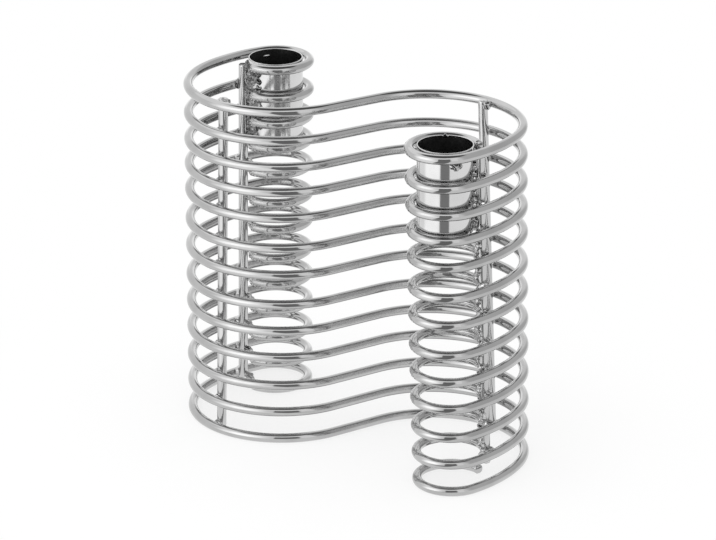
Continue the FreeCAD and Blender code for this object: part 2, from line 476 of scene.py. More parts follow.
class ScrollHalf:
    """Plan of one half of a scroll wire, drawn as the right half."""

    def __init__(
            self, plan: ScrollPlan, lobe_sweep: float, cover: float, turn: float,
            lean: float) -> None:
        """Works out the bends.

        Args:
            plan: The sizes.
            lobe_sweep: How far this half's lobe is bent, in degrees.
            cover: How much of the ring's end lies under weld metal, in degrees.
            turn: Turn of the stack from a cup's middle to its end, in radians.
            lean: Slide of the stack over the same height.
        """
        self.plan = plan
        self.cover = cover
        self.lobe = Bend(ray(0.0, plan.straight_half), 0.0, plan.lobe_radius, lobe_sweep)
        self.flank = Bend(self.lobe.end, self.lobe.end_heading, plan.flank_radius, plan.flank_sweep)
        inward = ray(self.flank.end_heading - 90.0)
        self.creep = turn * (self.flank.end + inward * plan.cup_radius).length + lean
        self.ring_radius = plan.cup_radius + self.creep + plan.ring_clearance + plan.wire_radius
        self.cup_centre = self.flank.end + inward * self.ring_radius
        self.post = self._post_place()
        sweep = self._ring_sweep()
        self.ring = Bend(self.flank.end, self.flank.end_heading, self.ring_radius, sweep)

    def _post_place(self) -> Vector:
        """Where the post stands, beside both the cup and the inner side of the flank.

        Returns:
            The post's middle in the plan.
        """
        plan = self.plan
        from_cup = plan.cup_radius + self.creep + plan.post_cup_gap + plan.rod_radius
        from_flank = plan.flank_radius - plan.wire_radius - plan.weld_gap - plan.rod_radius
        span = plan.flank_radius - self.ring_radius
        toward = (from_cup ** 2 - from_flank ** 2 + span ** 2) / (2.0 * span)
        turn = math.degrees(math.acos(toward / from_cup))
        return self.cup_centre + ray(angle_of(self.flank.centre - self.cup_centre) - turn, from_cup)

    def _ring_sweep(self) -> float:
        """The ring runs round the cup until its end meets the post.

        Returns:
            How far it runs, in degrees.
        """
        start = angle_of(self.flank.end - self.cup_centre)
        stop = angle_of(self.post - self.cup_centre)
        room = math.degrees((self.plan.rod_radius + self.plan.weld_gap) / self.ring_radius)
        return (start - stop - room) % 360.0

    def rod(self, angle: float) -> Vector:
        """Middle of a rod inside the lobe, at an angle from the lobe's centre.

        Args:
            angle: The angle in degrees.

        Returns:
            The rod's middle in the plan.
        """
        plan = self.plan
        reach = plan.lobe_radius - plan.wire_radius - plan.weld_gap - plan.rod_radius
        return self.lobe.centre + ray(angle, reach)

    def ring_to(self, short: float) -> Bend:
        """The ring, ended an angle in degrees before the post."""
        return Bend(self.ring.start, self.ring.heading, self.ring.radius, self.ring.sweep - short)


@dataclass
class Stack:
    """The stack of scroll wires: where each level lies, and how it creeps on its way down."""

    plan: ScrollPlan = field(default_factory=ScrollPlan)
    level_count: int = 13
    cup_levels: int = 4
    cup_rim_rise: float = 0.0017
    turn: float = 2.8
    lean: float = 0.0014
    lean_heading: float = -33.0

    def __post_init__(self) -> None:
        """Reads the levels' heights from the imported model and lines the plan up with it."""
        plan = self.plan
        boxes = [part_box(self.node(level)) for level in range(self.level_count)]
        self.heights = [(low.z + high.z) / 2.0 for low, high in boxes[:-1]]
        self.heights.append(boxes[-1][1].z - plan.wire_radius)
        self.top = self.heights[0]
        self.height = self.heights[0] - self.heights[-1]
        self.cup_top = self.top + self.cup_rim_rise
        self.cup_bottom = self.heights[self.cup_levels - 1]
        self.cup_middle = (self.cup_top + self.cup_bottom) / 2.0
        share = (self.cup_top - self.cup_bottom) / 2.0 / self.height
        creep = (share * math.radians(abs(self.turn)), share * abs(self.lean))
        self.halves = {
            Side.LEFT: ScrollHalf(plan, plan.lobe_sweep_left, plan.weld_cover_left, *creep),
            Side.RIGHT: ScrollHalf(plan, plan.lobe_sweep_right, plan.weld_cover_right, *creep),
        }
        self.cups_line = self.halves[Side.RIGHT].cup_centre + self.halves[Side.LEFT].cup_centre
        self.shift = Vector((0.0, 0.0, 0.0))
        low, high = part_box("left_cup_floor")
        on_ground = self.placed(Side.LEFT, self.halves[Side.LEFT].cup_centre, 0.0)
        self.shift = (low + high) / 2.0 - on_ground
        self.shift -= self.creep_at(Side.LEFT)
        self.shift.z = 0.0

    def creep_at(self, side: Side) -> Vector:
        """How far a cup's middle lies from its place on the ground."""
        centre = self.halves[side].cup_centre
        return self.placed(side, centre, self.cup_middle) - self.placed(side, centre, 0.0)

    def node(self, level: int) -> str:
        """Name of the node of the wire at a level, counted from the top."""
        return f"scroll_wire_{level + 1:02d}"

    def place(self, height: float) -> Matrix:
        """Turn and slide of the stack at a height.

        Args:
            height: The height.

        Returns:
            The move from the plan to this height.
        """
        angle = self.turn * (self.cup_middle - height) / self.height - angle_of(self.cups_line)
        turn = Matrix.Rotation(math.radians(angle), 4, "Z")
        slide = turn @ ray(self.lean_heading, self.lean * ((self.top - height) / self.height - 0.5))
        return Matrix.Translation(slide + self.shift + UP * height) @ turn

    def placed(self, side: Side, point: Vector, height: float) -> Vector:
        """A point of one half's plan, at a height in the stack.

        Args:
            side: The half.
            point: The point, in the right half's plan.
            height: The height.

        Returns:
            The point in place.
        """
        return self.place(height) @ (-point if side is Side.LEFT else point)

    def cup_axis(self, side: Side) -> Vector:
        """Foot of a cup's upright axis."""
        middle = self.placed(side, self.halves[side].cup_centre, self.cup_middle)
        return at_height(middle, self.cup_bottom)


class Bar:
    """A round bar that is bent step by step from a first ring of points."""

    fewest_steps: int = 4

    def __init__(self, radius: float, segments: int, step: float) -> None:
        """Starts the bar at the origin, square to the X axis.

        Args:
            radius: The bar's radius.
            segments: Points round it.
            step: Distance between rings in a bend.
        """
        self.model = bmesh.new()
        self.radius = radius
        self.step = step
        upright = Matrix.Rotation(math.radians(90.0), 4, "Y")
        bmesh.ops.create_circle(
            self.model, cap_ends=False, radius=radius, segments=segments, matrix=upright)
        self.first = list(self.model.verts) + list(self.model.edges)

    def straight(self, ring: list, move: Vector, narrow: float = 1.0) -> list:
        """Draws the bar on from a ring.

        Args:
            ring: Points and edges of the ring.
            move: How far and where to.
            narrow: Share of the width that is left at the end.

        Returns:
            The new ring.
        """
        edges = [item for item in ring if isinstance(item, BMEdge)]
        new = bmesh.ops.extrude_edge_only(self.model, edges=edges)["geom"]
        points = [item for item in new if isinstance(item, BMVert)]
        centre = sum((point.co for point in points), Vector()) / len(points)
        around = Matrix.Translation(-centre)
        bmesh.ops.scale(self.model, vec=(narrow, narrow, narrow), space=around, verts=points)
        bmesh.ops.translate(self.model, vec=move, verts=points)
        fresh = set(points)
        ends = [item for item in new if isinstance(item, BMEdge) and set(item.verts) <= fresh]
        return points + ends

    def bend(self, ring: list, centre: Vector, bend: Bend) -> list:
        """Bends the bar on from a ring, clockwise round a centre.

        Args:
            ring: Points and edges of the ring.
            centre: Middle of the arc, as drawn.
            bend: The arc that gives the sweep and the length.

        Returns:
            The last ring.
        """
        steps = max(self.fewest_steps, round(bend.length() / self.step))
        spun = bmesh.ops.spin(
            self.model, geom=ring, cent=centre, axis=UP, dvec=(0.0, 0.0, 0.0),
            angle=-math.radians(bend.sweep), steps=steps, use_merge=False, use_duplicate=False)
        return spun["geom_last"]

    def close(self, ring: list, heading: Vector, ease: float) -> None:
        """Eases the bar's end and closes it.

        Args:
            ring: Points and edges of the last ring.
            heading: Where the bar points.
            ease: How much its edge is eased.
        """
        last = self.straight(ring, heading * ease, (self.radius - ease) / self.radius)
        edges = [item for item in last if isinstance(item, BMEdge)]
        bmesh.ops.holes_fill(self.model, edges=edges, sides=0)


@dataclass
class ScrollWires:
    """The thirteen scroll wires, the lowest ground flat underneath."""

    stack: Stack
    finish: SteelFinish
    segments: int = 28
    step: float = 0.0011
    end_ease: float = 0.0005

    def plan_bar(self, lowest: bool) -> BMesh:
        """One scroll wire, lying flat with its middle at the origin.

        Args:
            lowest: Whether it is the lowest wire, whose right ring has a free end.

        Returns:
            Its model.
        """
        plan = self.stack.plan
        bar = Bar(plan.wire_radius, self.segments, self.step)
        for side, sign in ((Side.RIGHT, 1.0), (Side.LEFT, -1.0)):
            half = self.stack.halves[side]
            ring = bar.straight(bar.first, ray(0.0, plan.straight_half) * sign)
            free = lowest and side is Side.RIGHT
            last = half.ring_to(plan.free_end_short if free else half.cover)
            for bend in (half.lobe, half.flank, last):
                ring = bar.bend(ring, bend.centre * sign, bend)
            bar.close(ring, ray(last.end_heading) * sign, self.end_ease)
        return bar.model

    def build(self, shop: Workshop) -> None:
        """Puts a wire at every level.

        Args:
            shop: Makes the pieces.
        """
        for level, height in enumerate(self.stack.heights):
            model = self.plan_bar(level == len(self.stack.heights) - 1)
            bmesh.ops.transform(model, matrix=self.stack.place(height), verts=model.verts)
            for point in model.verts:
                point.co.z = max(point.co.z, 0.0)
            name, mesh = f"wire_{level + 1:02d}", to_mesh(model, "wire")
            shop.piece(name, mesh, self.stack.node(level), "wire_steel", [self.finish])


@dataclass
class Uprights:
    """The rods inside the lobes and the posts beside the cups."""

    stack: Stack
    finish: SteelFinish
    segments: int = 32
    end_round: float = 0.0006
    round_steps: int = 4
    rod_head_rise: float = 0.0017
    foot_drop: float = 0.001
    post_head_drop: float = 0.0023
    right_post_level: int = 11
    right_post_overhang: float = 0.005

    def rod_ends(self, side: Side) -> tuple[Vector, Vector]:
        """Foot and head of the rod inside a lobe.

        Args:
            side: Which end of the holder.

        Returns:
            The middles of both ends.
        """
        stack = self.stack
        half = stack.halves[side]
        low = stack.heights[-1] - self.foot_drop
        high = stack.top + self.rod_head_rise
        foot = stack.placed(side, half.rod(stack.plan.rod_foot_angle), low)
        return foot, stack.placed(side, half.rod(stack.plan.rod_head_angle), high)

    def post_ends(self, side: Side) -> tuple[Vector, Vector]:
        """Foot and head of the post beside a cup.

        Args:
            side: Which end of the holder.

        Returns:
            The middles of both ends.
        """
        stack = self.stack
        low = stack.heights[-1] - self.foot_drop
        if side is Side.RIGHT:
            low = stack.heights[self.right_post_level] - self.right_post_overhang
        high = stack.top - self.post_head_drop
        place = stack.halves[side].post
        return stack.placed(side, place, low), stack.placed(side, place, high)

    def mesh(self, foot: Vector, head: Vector) -> Mesh:
        """A round rod with eased ends.

        Args:
            foot: Middle of its lower end.
            head: Middle of its upper end.

        Returns:
            Its mesh, in place.
        """
        model = bmesh.new()
        axis = head - foot
        radius = self.stack.plan.rod_radius
        bmesh.ops.create_cone(
            model, cap_ends=True, cap_tris=False, segments=self.segments, radius1=radius,
            radius2=radius, depth=axis.length)
        rims = [edge for edge in model.edges
                if abs(edge.verts[0].co.z - edge.verts[1].co.z) <= axis.length / 2.0]
        round_edges(model, rims, self.end_round, self.round_steps)
        for end in (-1.0, 1.0):
            cut = Vector((0.0, 0.0, end * (axis.length / 2.0 - 2.0 * self.end_round)))
            whole = list(model.verts) + list(model.edges) + list(model.faces)
            bmesh.ops.bisect_plane(model, geom=whole, plane_co=cut, plane_no=UP)
        turn = axis.to_track_quat("Z", "Y").to_matrix().to_4x4()
        place = Matrix.Translation((foot + head) / 2.0) @ turn
        bmesh.ops.transform(model, matrix=place, verts=model.verts)
        return to_mesh(model, "upright")

    def build(self, shop: Workshop) -> None:
        """Stands a rod and a post in each side.

        Args:
            shop: Makes the pieces.
        """
        for side in Side:
            name = side.value
            rod = self.mesh(*self.rod_ends(side))
            shop.piece(f"{name}_rod", rod, f"{name}_lobe_rod", "rod_steel", [self.finish])
            post = self.mesh(*self.post_ends(side))
            shop.piece(f"{name}_post", post, f"{name}_cup_post", "rod_steel", [self.finish])


@dataclass
class Cups:
    """The candle cups: a thin tube with a dark inside, and the disc that closes it underneath."""

    stack: Stack
    outside: SteelFinish
    inside: SteelFinish
    floor: float = 0.001
    rim_round: float = 0.00015
    rim_steps: int = 3
    rim_crease: float = 0.5
    rim_support: float = 0.0005
    floor_ease: float = 0.00025
    bright_lip: float = 0.0004
    steps: int = 144
    notch_heading: float = 148.0
    notch_width: float = 7.0
    notch_depth: float = 0.0011

    def spun(self, axis: Vector, profile: Iterable[tuple[float, float]], closed: bool) -> BMesh:
        """Spins a profile round an upright axis.

        Args:
            axis: Foot of the axis.
            profile: Radius and height of each corner.
            closed: Whether the last corner joins the first.

        Returns:
            The spun model.
        """
        model = bmesh.new()
        points = [model.verts.new(axis + Vector((reach, 0.0, height))) for reach, height in profile]
        pairs = list(zip(points, points[1:])) + ([(points[-1], points[0])] if closed else [])
        edges = [model.edges.new(pair) for pair in pairs]
        bmesh.ops.spin(
            model, geom=points + edges, cent=axis, axis=UP, dvec=(0.0, 0.0, 0.0),
            angle=math.radians(360.0), steps=self.steps, use_merge=True, use_duplicate=False)
        bmesh.ops.remove_doubles(model, verts=model.verts, dist=TOUCH)
        return model

    def rims(self, model: BMesh, height: float) -> list[BMEdge]:
        """Creased edges of the circles at a height.

        Args:
            model: The model.
            height: The height.

        Returns:
            The edges.
        """
        return [edge for edge in model.edges if edge.calc_face_angle(0.0) > self.rim_crease
                and all(abs(point.co.z - height) < 5.0 * TOUCH for point in edge.verts)]

    def tube(self, side: Side) -> Mesh:
        """The cup's wall, with its rim eased and a notch where its seam meets the rim.

        Args:
            side: Which end of the holder.

        Returns:
            Its mesh, with the dark inside as its second material.
        """
        axis = self.stack.cup_axis(side)
        rim = self.stack.cup_top
        outer = self.stack.plan.cup_radius
        inner = outer - self.stack.plan.cup_wall
        top = rim - axis.z
        near = top - self.rim_support
        foot = self.floor + self.rim_support
        profile = (
            (outer, self.floor), (outer, foot), (outer, near), (outer, top),
            (inner, top), (inner, near), (inner, foot), (inner, self.floor))
        model = self.spun(axis, profile, True)
        round_edges(model, self.rims(model, rim), self.rim_round, self.rim_steps)
        bmesh.ops.recalc_face_normals(model, faces=model.faces)
        middle = (inner + outer) / 2.0
        for face in model.faces:
            centre = face.calc_center_median()
            reach = (centre - axis).to_2d().length
            if reach < middle and centre.z < rim - self.bright_lip:
                face.material_index = 1
        if side is Side.RIGHT:
            for point in model.verts:
                if point.co.z > rim - self.bright_lip:
                    point.co.z -= self.notch(angle_of(point.co - axis))
        return to_mesh(model, "cup", recalculate=False)

    def notch(self, heading: float) -> float:
        """How deep the notch cuts the rim at a heading."""
        off = abs((heading - self.notch_heading + 180.0) % 360.0 - 180.0)
        return self.notch_depth * (1.0 - smooth_step(off, self.notch_width / 2.0, self.notch_width))

    def disc(self, side: Side) -> Mesh:
        """The disc under the cup, its lower edge eased.

        Args:
            side: Which end of the holder.

        Returns:
            Its mesh.
        """
        axis = self.stack.cup_axis(side)
        outer = self.stack.plan.cup_radius
        ease = self.floor_ease
        profile = (
            (0.0, 0.0), (outer - ease, 0.0), (outer, ease), (outer, self.floor), (0.0, self.floor))
        return to_mesh(self.spun(axis, profile, False), "cup_base")

    def build(self, shop: Workshop) -> None:
        """Stands a cup in each side.

        Args:
            shop: Makes the pieces.
        """
        for side in Side:
            name = side.value
            coats = [self.outside, self.inside]
            shop.piece(f"{name}_cup", self.tube(side), f"{name}_cup_tube", "cup_steel", coats)
            disc = self.disc(side)
            shop.piece(f"{name}_cup_base", disc, f"{name}_cup_floor", "cup_steel", [self.outside])


@dataclass(frozen=True)
class Lump:
    """One drop of weld metal."""

    centre: Vector
    radius: float


@dataclass
class WeldSkin:
    """The rough skin of cooled weld metal, laid over drops that run together."""

    stack: Stack
    drop_fineness: int = 3
    voxel: float = 0.00027
    lump_scale: float = 400.0
    lump_depth: float = 0.00045
    fine_scale: float = 2.3
    fine_share: float = 0.5
    groove_scale: float = 300.0
    groove_offset: tuple[float, float, float] = (7.0, 3.0, 5.0)
    groove_width: float = 0.12
    groove_depth: float = 0.0006
    groove_field_scale: float = 0.45
    groove_field_range: tuple[float, float] = (-0.4, 0.1)

    def remeshed(self, mesh: Mesh) -> Mesh:
        """The lumps run together into one skin.

        Args:
            mesh: Lumps that overlap.

        Returns:
            A new mesh of their joint outside.
        """
        holder = new_object("remesh", mesh)
        voxels = holder.modifiers.new("voxels", "REMESH")
        voxels.mode = "VOXEL"
        voxels.voxel_size = self.voxel
        bpy.context.view_layer.update()
        graph = bpy.context.evaluated_depsgraph_get()
        skin = bpy.data.meshes.new_from_object(holder.evaluated_get(graph))
        bpy.data.objects.remove(holder)
        bpy.data.meshes.remove(mesh)
        return skin

    def roughen(self, model: BMesh, side: Side, limits: tuple[Vector, Vector]) -> list[float]:
        """Pushes the skin in and out as cooled weld metal lies.

        Args:
            model: The skin, which is changed.
            side: The cup that the skin stays out of.
            limits: Lowest and highest corner that it stays within.

        Returns:
            For each point, how deep in a groove it lies, from 0 to 1, for the painted shade there.
        """
        axis = self.stack.cup_axis(side)
        bore = self.stack.plan.cup_radius - self.stack.plan.cup_wall / 2.0
        low, high = limits
        offset = Vector(self.groove_offset)
        model.normal_update()
        shade_depths = []
        for point in model.verts:
            place = point.co.copy()
            swell = noise.noise(place * self.lump_scale)
            swell += self.fine_share * noise.noise(place * self.lump_scale * self.fine_scale)
            ridge = abs(noise.noise(place * self.groove_scale + offset))
            grooved = noise.noise(place * self.groove_scale * self.groove_field_scale)
            groove = 1.0 - smooth_step(ridge, 0.0, self.groove_width)
            groove *= smooth_step(grooved, *self.groove_field_range)
            point.co += point.normal * (self.lump_depth * swell - self.groove_depth * groove)
            shade_depths.append(groove)
            if point.co.z > self.stack.cup_bottom:
                out = at_height(point.co - axis, 0.0)
                if out.length < bore:
                    point.co += out.normalized() * (bore - out.length)
            for number in range(3):
                point.co[number] = min(max(point.co[number], low[number]), high[number])
        return shade_depths

    def mesh(self, lumps: Iterable[Lump], side: Side, limits: tuple[Vector, Vector]) -> Mesh:
        """Weld metal as one rough skin.

        Args:
            lumps: Its drops.
            side: The side that it is on.
            limits: Lowest and highest corner that it stays within.

        Returns:
            Its mesh, with the depth of each groove for painted shade.
        """
        drops = bmesh.new()
        for lump in lumps:
            place = Matrix.Translation(lump.centre)
            bmesh.ops.create_icosphere(
                drops, subdivisions=self.drop_fineness, radius=lump.radius, matrix=place)
        skin = self.remeshed(to_mesh(drops, "drops"))
        model = bmesh.new()
        model.from_mesh(skin)
        bpy.data.meshes.remove(skin)
        shade_depths = self.roughen(model, side, limits)
        mesh = to_mesh(model, "weld", recalculate=False)
        # Groove depths as a point attribute, which the weld finish turns into painted shade
        mesh.attributes.new(CREVICE_SHADE, "FLOAT", "POINT").data.foreach_set("value", shade_depths)
        return mesh


@dataclass
class Welds:
    """The weld metal where wires meet rods, posts and cups.

    Its headings are in degrees from the camera's side, its lengths in metres.
    """

    stack: Stack
    uprights: Uprights
    skin: WeldSkin
    finishes: dict[Side, SteelFinish]
    # Beads at the wires
    rod_tack_radius: float = 0.0018
    tack_radius: float = 0.0024
    cover_radius: float = 0.00178
    cover_step: float = 6.5
    head_radius: float = 0.0016
    head_drop: float = 0.0021
    size_shares: tuple[float, ...] = (1.0, 0.94, 1.05, 0.97, 1.02)
    lift: float = 0.0005
    uneven: float = 0.0012
    sag_scales: tuple[float, float] = (1.7, 2.3)
    sag_offset: float = 0.5
    ground_gap: float = 0.0003
    fewest_gaps: int = 2
    # Drops from the ends of the left rings to the post
    crumb_sizes: tuple[float, float] = (0.0015, 0.0019)
    crumb_scatter: float = 0.00035
    crumb_pitch: float = 0.0016
    # Caps over the heads of the lobe rods
    cap_radius: float = 0.0023
    cap_drop: float = 0.0021
    cap_spread: float = 0.0012
    cap_places_left: tuple[float, ...] = (-1.0, 0.0, 1.0)
    cap_places_right: tuple[float, ...] = (0.5, 1.5)
    cap_shrink: float = 0.1
    # Seams between cup and post
    seam_radius: float = 0.0017
    seam_pitch: float = 0.0022
    # Patch on the left cup's wall
    patch_seed: int = 11
    patch_columns: tuple[float, ...] = (-75.0, -62.0, -50.0, -38.0)
    patch_stagger: float = 3.0
    patch_pitch: float = 0.0025
    patch_pitches: tuple[float, float] = (0.8, 1.25)
    patch_radius: float = 0.0019
    patch_sizes: tuple[float, float] = (0.8, 1.2)
    patch_proud: float = 0.001
    patch_stands: tuple[float, float] = (0.4, 1.1)
    patch_wander: float = 4.0
    # Metal that has run down the right post
    run_seed: int = 5
    run_headings: tuple[float, float] = (-100.0, -20.0)
    run_reach: float = 0.0019
    run_sizes: tuple[float, float] = (0.0010, 0.0016)
    run_pitch: float = 0.0017
    run_pitches: tuple[float, float] = (0.7, 1.3)
    run_start: float = 0.004
    # Marks on the right cup: heading, drop below the top wire and radius of each on its wall
    wall_tacks: tuple[tuple[float, float, float], ...] = (
        (14.0, 0.0040, 0.0014), (20.0, 0.0044, 0.0018), (27.0, 0.0040, 0.0015))
    tack_sunk: float = 0.22
    rim_tack: float = 0.001
    tack_proud: float = 0.0003
    # Drop inside the left cup: half its depth, width and height
    drip_heading: float = -158.7
    drip_drop: float = 0.0031
    drip_radii: tuple[float, float, float] = (0.00045, 0.0016, 0.0007)
    drip_fineness: int = 4

    def bead(self, radius: float, level: int, spot: Vector) -> Lump:
        """A bead at a level, low on the top wire and clear of the ground on the lowest.

        Args:
            radius: Its usual radius.
            level: Which wire, from the top.
            spot: Where it sits.

        Returns:
            The bead.
        """
        size = radius * self.size_shares[level % len(self.size_shares)]
        lift = self.lift if level else -self.lift
        return Lump(at_height(spot, max(spot.z + lift, size + self.ground_gap)), size)

    def rod_lumps(self, side: Side) -> list[Lump]:
        """A bead where each wire crosses the rod, and a cap over the rod's head.

        Args:
            side: Which end of the holder.

        Returns:
            The drops.
        """
        stack = self.stack
        half = stack.halves[side]
        foot, head = self.uprights.rod_ends(side)
        reach = stack.plan.lobe_radius - stack.plan.wire_radius - stack.plan.weld_gap / 2.0
        lumps = []
        for level, height in enumerate(stack.heights):
            centre = stack.placed(side, half.lobe.centre, height)
            spot = centre + ray(angle_of(on_line(foot, head, height) - centre), reach)
            lumps.append(self.bead(self.rod_tack_radius, level, spot))
        for place in self.cap_places_left if side is Side.LEFT else self.cap_places_right:
            aside = ray(CAMERA_HEADING + 90.0, self.cap_spread * place)
            size = self.cap_radius * (1.0 - self.cap_shrink * abs(place))
            lumps.append(Lump(head + aside - UP * self.cap_drop, size))
        return lumps

    def seam(self, side: Side, level: int) -> list[Lump]:
        """A row of lumps between cup and post, from one wire down to the next.

        Args:
            side: Which end of the holder.
            level: The upper of the two wires, from the top.

        Returns:
            The drops.
        """
        stack = self.stack
        axis = stack.cup_axis(side)
        top, bottom = stack.heights[level], stack.heights[level + 1]
        count = max(self.fewest_gaps, round((top - bottom) / self.seam_pitch))
        lumps = []
        for step in range(1, count):
            height = bottom + (top - bottom) * step / count
            root = at_height(axis, height)
            beside = stack.placed(side, stack.halves[side].post, height) - root
            reach = (stack.plan.cup_radius + beside.length - stack.plan.rod_radius) / 2.0
            size = self.seam_radius * self.size_shares[(step + level) % len(self.size_shares)]
            lumps.append(Lump(root + beside.normalized() * reach, size))
        return lumps

    def patch(self, side: Side) -> list[Lump]:
        """The weld metal that runs on over the left cup's wall.

        Args:
            side: Which end of the holder.

        Returns:
            The drops.
        """
        dice = random.Random(self.patch_seed)
        axis = self.stack.cup_axis(side)
        lumps = []
        for number, column in enumerate(self.patch_columns):
            height = self.stack.cup_bottom + self.patch_pitch * (1.0 + number / self.patch_stagger)
            while height < self.stack.top - self.patch_pitch / 2.0:
                size = self.patch_radius * dice.uniform(*self.patch_sizes)
                aside = dice.uniform(-self.patch_wander, self.patch_wander)
                heading = CAMERA_HEADING + column + aside
                proud = self.patch_proud * dice.uniform(*self.patch_stands)
                reach = self.stack.plan.cup_radius + proud - size
                lumps.append(Lump(at_height(axis, height) + ray(heading, reach), size))
                height += self.patch_pitch * dice.uniform(*self.patch_pitches)
        return lumps

    def ring_end(self, side: Side, level: int) -> list[Lump]:
        """Weld metal from the post to a ring's end: drops on the left, beads on the right.

        Args:
            side: Which end of the holder.
            level: Which wire, from the top.

        Returns:
            The drops.
        """
        stack = self.stack
        half = stack.halves[side]
        height = stack.heights[level]
        if side is Side.LEFT:
            places = (half.ring_to(half.cover).end, half.post, half.cup_centre)
            return self.crumbs(level, *(stack.placed(side, place, height) for place in places))
        lumps = []
        for step in range(1 + round(half.cover / self.cover_step)):
            spot = stack.placed(side, half.ring_to(step * self.cover_step).end, height)
            if level == 0:
                lumps.append(Lump(spot - UP * self.head_drop, self.head_radius))
            else:
                bead = self.bead(self.cover_radius, level + step, spot)
                lumps.append(Lump(bead.centre + UP * self.sag(level, step), bead.radius))
        return lumps

    def run(self, side: Side) -> list[Lump]:
        """The weld metal that has run down the post below the cup.

        Args:
            side: Which end of the holder.

        Returns:
            The drops.
        """
        foot, head = self.uprights.post_ends(side)
        dice = random.Random(self.run_seed)
        lumps = []
        height = foot.z + self.run_start
        while height < self.stack.cup_bottom:
            aside = ray(CAMERA_HEADING + dice.uniform(*self.run_headings), self.run_reach)
            lumps.append(Lump(on_line(foot, head, height) + aside, dice.uniform(*self.run_sizes)))
            height += self.run_pitch * dice.uniform(*self.run_pitches)
        return lumps

    def crumbs(self, level: int, start: Vector, post: Vector, centre: Vector) -> list[Lump]:
        """Uneven drops from the end of a left ring straight back to the post.

        Args:
            level: Which wire, from the top.
            start: The end of its ring.
            post: The post at its height.
            centre: The ring's centre.

        Returns:
            The drops.
        """
        dice = random.Random(level)
        goal = post + (centre - post).normalized() * self.stack.plan.rod_radius
        count = max(self.fewest_gaps, round((goal - start).length / self.crumb_pitch))
        drop = UP * (self.head_drop if level == 0 else 0.0)
        lumps = []
        for step in range(count + 1):
            aside = Vector([dice.uniform(-1.0, 1.0) * self.crumb_scatter for _ in range(3)])
            spot = start + (goal - start) * step / count - drop + aside
            size = dice.uniform(*self.crumb_sizes)
            lumps.append(Lump(at_height(spot, max(spot.z, size + self.ground_gap)), size))
        return lumps

    def sag(self, level: int, step: int) -> float:
        """How far a bead over a ring's end lies above or below its even place.

        Args:
            level: Which wire, from the top.
            step: Which bead, from the post.

        Returns:
            The distance upward.
        """
        across, along = self.sag_scales
        place = Vector((level * across, step * along, self.sag_offset))
        return -self.lift + self.uneven * noise.noise(place)

    def post_lumps(self, side: Side) -> list[Lump]:
        """All weld metal at a post: beads at each wire, the seam at the cup, and what ran on.

        Args:
            side: Which end of the holder.

        Returns:
            The drops.
        """
        stack = self.stack
        half = stack.halves[side]
        plan = stack.plan
        foot, _ = self.uprights.post_ends(side)
        lumps = []
        for level, height in enumerate(stack.heights):
            if height < foot.z:
                continue
            post_at = stack.placed(side, half.post, height)
            flank_centre = stack.placed(side, half.flank.centre, height)
            reach = plan.flank_radius - plan.wire_radius
            on_flank = flank_centre + ray(angle_of(post_at - flank_centre), reach)
            if level or side is Side.RIGHT:
                size = self.tack_radius if level else self.head_radius
                lumps.append(self.bead(size, level, on_flank))
            lumps += self.ring_end(side, level)
            if level < stack.cup_levels - 1:
                lumps += self.seam(side, level)
        if side is Side.LEFT:
            return lumps + self.patch(side)
        return lumps + self.run(side) + self.tacks(side)

    def tacks(self, side: Side) -> list[Lump]:
        """Small marks on the far side of a cup's rim and on the near side of its wall.

        Args:
            side: Which end of the holder.

        Returns:
            The drops.
        """
        stack = self.stack
        plan = stack.plan
        axis = stack.cup_axis(side)
        behind = axis + ray(CAMERA_HEADING + 180.0, plan.cup_radius + self.tack_proud)
        lumps = [Lump(at_height(behind, stack.top + plan.wire_radius / 2.0), self.rim_tack)]
        for heading, drop, radius in self.wall_tacks:
            place = axis + ray(CAMERA_HEADING + heading, plan.cup_radius - radius * self.tack_sunk)
            lumps.append(Lump(at_height(place, stack.top - drop), radius))
        return lumps

    def drip(self) -> Mesh:
        """The drop of weld metal that came through the left cup's wall.

        Returns:
            Its mesh, which has no grooves.
        """
        heading = CAMERA_HEADING + self.drip_heading
        plan = self.stack.plan
        spot = self.stack.cup_axis(Side.LEFT) + ray(heading, plan.cup_radius - plan.cup_wall)
        turn = Matrix.Rotation(math.radians(heading), 3, "Z")
        model = bmesh.new()
        bmesh.ops.create_icosphere(model, subdivisions=self.drip_fineness, radius=1.0)
        bmesh.ops.scale(model, vec=self.drip_radii, verts=model.verts)
        bmesh.ops.rotate(model, matrix=turn, verts=model.verts)
        place = at_height(spot, self.stack.cup_top - self.drip_drop)
        bmesh.ops.translate(model, vec=place, verts=model.verts)
        mesh = to_mesh(model, "drip", recalculate=False)
        mesh.attributes.new(CREVICE_SHADE, "FLOAT", "POINT")
        return mesh

    def build(self, shop: Workshop) -> None:
        """Welds both sides, the right side's finish on all but the metal beside the left cup.

        Args:
            shop: Makes the pieces.
        """
        low, high = (Vector(corner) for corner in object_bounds())
        low.z += self.ground_gap
        common = self.finishes[Side.RIGHT]
        for side in Side:
            name = side.value
            rod = self.skin.mesh(self.rod_lumps(side), side, (low, high))
            shop.piece(f"{name}_rod_weld", rod, f"{name}_rod_welds", "weld_metal", [common])
            post = self.skin.mesh(self.post_lumps(side), side, (low, high))
            for face in post.polygons:
                face.material_index = int(face.center.z < self.stack.cup_bottom)
            coats = [self.finishes[side], common]
            shop.piece(f"{name}_post_weld", post, f"{name}_post_welds", "weld_metal", coats)
        shop.piece("left_cup_drip", self.drip(), None, "weld_metal", [common])


# Studio


@dataclass(frozen=True)
class Card:
    """A tall curved card round the table, seen only in the metal's reflections.

    Its place is in degrees from the camera's side, counted to the right.
    """

    name: str
    start: float
    end: float
    low: float
    high: float
    distance: float
    radiance: float
    side_fade: float
    end_fade: float


